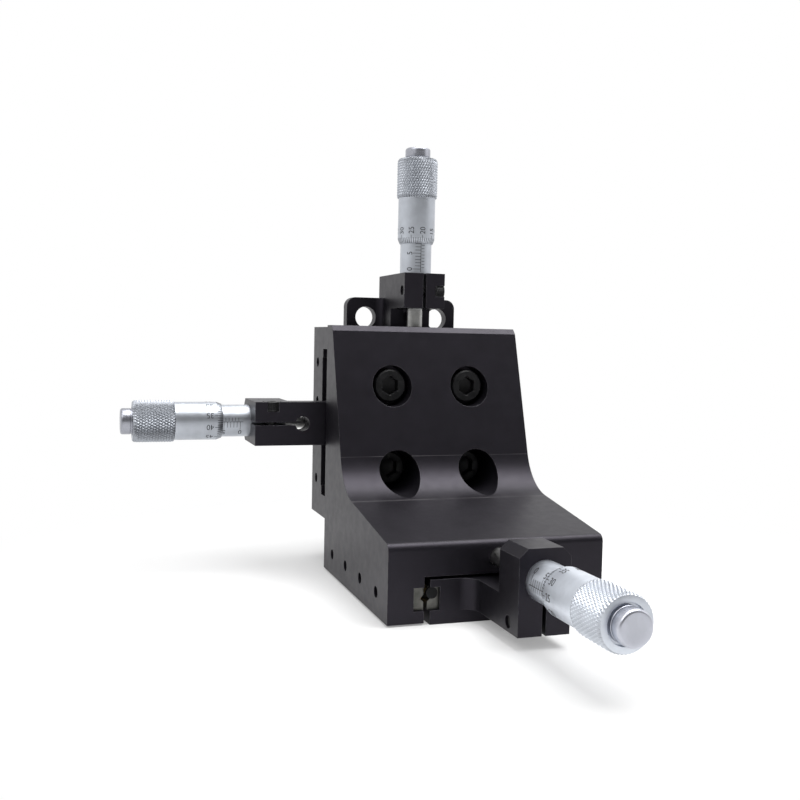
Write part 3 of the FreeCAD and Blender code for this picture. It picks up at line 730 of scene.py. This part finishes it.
def return_spring(name):
    """A tension spring with a loop round its pin and one round its post."""
    low, high = (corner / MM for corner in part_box(name + "_spring_pin"))
    pin, up = (low + high) / 2, longest_side(low, high)
    low, high = (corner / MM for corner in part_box(name + "_spring_post"))
    post, side = (low + high) / 2, longest_side(low, high)
    run = Vector([float(letter == name) for letter in "xyz"])
    reach = (post - pin).dot(run)
    if reach < 0:
        run, reach = -run, -reach
    path = loop(pin, run, side)
    path.append(pin + run * (COIL_INSET - 0.3) - side * 1.2)
    steps = int(COIL_TURNS * COIL_STEPS)
    for i in range(steps + 1):
        angle = math.radians(360 / COIL_STEPS * i - 90)
        along = COIL_INSET + (reach - 2 * COIL_INSET) * i / steps
        path.append(pin + run * along + (up * math.cos(angle) + side * math.sin(angle)) * COIL_RADIUS)
    end = pin + run * reach
    path.append(end - run * (COIL_INSET - 0.3) + up * 1.2)
    path += loop(end, -run, up)
    points, faces = wire(path, WIRE_RADIUS)
    spring = make_piece(name + "_return_spring_coil", points, faces, "spring_steel", None,
                        [name + "_return_spring"], 50)
    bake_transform(spring)


def make_springs():
    for name, (pin_body, post_body) in SPRINGS.items():
        return_spring(name)


# ---------------------------------------------------------------- studio

def eased(nodes, low, high, to_low, to_high):
    """A node that maps a range smoothly to another."""
    node = nodes.new("ShaderNodeMapRange")
    node.interpolation_type = "SMOOTHSTEP"
    for name, number in (("From Min", low), ("From Max", high), ("To Min", to_low), ("To Max", to_high)):
        node.inputs[name].default_value = number
    return node


def seen_directly(nodes, links):
    """1 for rays from the camera, and for reflected and refracted ones."""
    path = nodes.new("ShaderNodeLightPath")
    total = path.outputs["Is Camera Ray"]
    for name in ("Is Glossy Ray", "Is Transmission Ray"):
        most = nodes.new("ShaderNodeMath")
        most.operation = "MAXIMUM"
        links.new(total, most.inputs[0])
        links.new(path.outputs[name], most.inputs[1])
        total = most.outputs["Value"]
    return total


def make_floor():
    """White floor: it keeps the object's shadow, and shows plain white away from it."""
    mesh = bpy.data.meshes.new("floor")
    mesh.from_pydata([(-3, -2, 0), (3, -2, 0), (3, 5, 0), (-3, 5, 0)], [], [(0, 1, 2, 3)])
    material = bpy.data.materials.new("floor_white")
    material.use_nodes = True
    nodes, links = material.node_tree.nodes, material.node_tree.links
    nodes.clear()
    lit = nodes.new("ShaderNodeBsdfDiffuse")
    lit.inputs["Color"].default_value = (0.92, 0.92, 0.92, 1)
    glow = nodes.new("ShaderNodeEmission")
    glow.inputs["Color"].default_value = (1, 1, 1, 1)
    glow.inputs["Strength"].default_value = 1.0
    far = nodes.new("ShaderNodeVectorMath")
    far.operation = "LENGTH"
    links.new(nodes.new("ShaderNodeTexCoord").outputs["Object"], far.inputs[0])
    plain = eased(nodes, 0.03, 0.16, 0.25, 1.0)
    links.new(far.outputs["Value"], plain.inputs["Value"])
    share = nodes.new("ShaderNodeMath")
    share.operation = "MULTIPLY"
    links.new(plain.outputs["Result"], share.inputs[1])
    links.new(seen_directly(nodes, links), share.inputs[0])
    blend = nodes.new("ShaderNodeMixShader")
    links.new(share.outputs["Value"], blend.inputs["Fac"])
    links.new(lit.outputs["BSDF"], blend.inputs[1])
    links.new(glow.outputs["Emission"], blend.inputs[2])
    out = nodes.new("ShaderNodeOutputMaterial")
    links.new(blend.outputs["Shader"], out.inputs["Surface"])
    mesh.materials.append(material)
    floor = bpy.data.objects.new("floor", mesh)
    bpy.context.scene.collection.objects.link(floor)


def make_world():
    """Plain white for what the camera sees; for reflections the room darkens in front of the object."""
    world = bpy.data.worlds.new("studio")
    bpy.context.scene.world = world
    world.use_nodes = True
    nodes, links = world.node_tree.nodes, world.node_tree.links
    nodes.clear()
    direction = nodes.new("ShaderNodeTexCoord").outputs["Generated"]
    split = nodes.new("ShaderNodeSeparateXYZ")
    links.new(direction, split.inputs["Vector"])
    room = eased(nodes, -0.8, 0.1, 0.22, 1.0)
    links.new(split.outputs["Y"], room.inputs["Value"])
    path = nodes.new("ShaderNodeLightPath")
    seen = nodes.new("ShaderNodeMath")
    seen.operation = "MAXIMUM"
    links.new(path.outputs["Is Camera Ray"], seen.inputs[0])
    links.new(path.outputs["Is Transmission Ray"], seen.inputs[1])
    for_glossy = nodes.new("ShaderNodeMix")
    for_glossy.inputs[2].default_value = 0.35
    links.new(path.outputs["Is Glossy Ray"], for_glossy.inputs[0])
    links.new(room.outputs["Result"], for_glossy.inputs[3])
    strength = nodes.new("ShaderNodeMix")
    strength.inputs[3].default_value = 1.0
    links.new(seen.outputs["Value"], strength.inputs[0])
    links.new(for_glossy.outputs[0], strength.inputs[2])
    background = nodes.new("ShaderNodeBackground")
    background.inputs["Color"].default_value = (1, 1, 1, 1)
    links.new(strength.outputs[0], background.inputs["Strength"])
    out = nodes.new("ShaderNodeOutputWorld")
    links.new(background.outputs["Background"], out.inputs["Surface"])


def softbox(name, place, size, power):
    """A square area light aimed at the object."""
    light = bpy.data.lights.new(name, "AREA")
    light.shape = "SQUARE"
    light.size = size
    light.energy = power
    obj = bpy.data.objects.new(name, light)
    obj.location = place
    obj.rotation_mode = "QUATERNION"
    obj.rotation_quaternion = (Vector(place) - Vector(LIGHTS_AIM)).to_track_quat("Z", "Y")
    bpy.context.scene.collection.objects.link(obj)


def make_camera():
    """A camera on the object's left front, a little above the shelf, looking slightly down."""
    level = math.cos(CAMERA_PITCH)
    forward = Vector((math.sin(CAMERA_YAW) * level, math.cos(CAMERA_YAW) * level, -math.sin(CAMERA_PITCH)))
    right = Vector((math.cos(CAMERA_YAW), -math.sin(CAMERA_YAW), 0))
    up = right.cross(forward)
    across = right * math.cos(CAMERA_ROLL) + up * math.sin(CAMERA_ROLL)
    above = up * math.cos(CAMERA_ROLL) - right * math.sin(CAMERA_ROLL)
    data = bpy.data.cameras.new("camera")
    data.lens = CAMERA_LENS
    data.sensor_width = CAMERA_SENSOR
    camera = bpy.data.objects.new("camera", data)
    turn = Matrix((across, above, -forward)).transposed().to_4x4()
    camera.matrix_world = Matrix.Translation(CAMERA_PLACE) @ turn
    bpy.context.scene.collection.objects.link(camera)
    bpy.context.scene.camera = camera


def make_studio():
    make_floor()
    make_world()
    for name, place, size, power in SOFTBOXES:
        softbox(name, place, size, power)
    make_camera()
    bpy.context.scene.view_settings.view_transform = "Standard"


dress_cad()
make_heads()
make_screws()
make_springs()
make_studio()

bpy.context.view_layer.update()
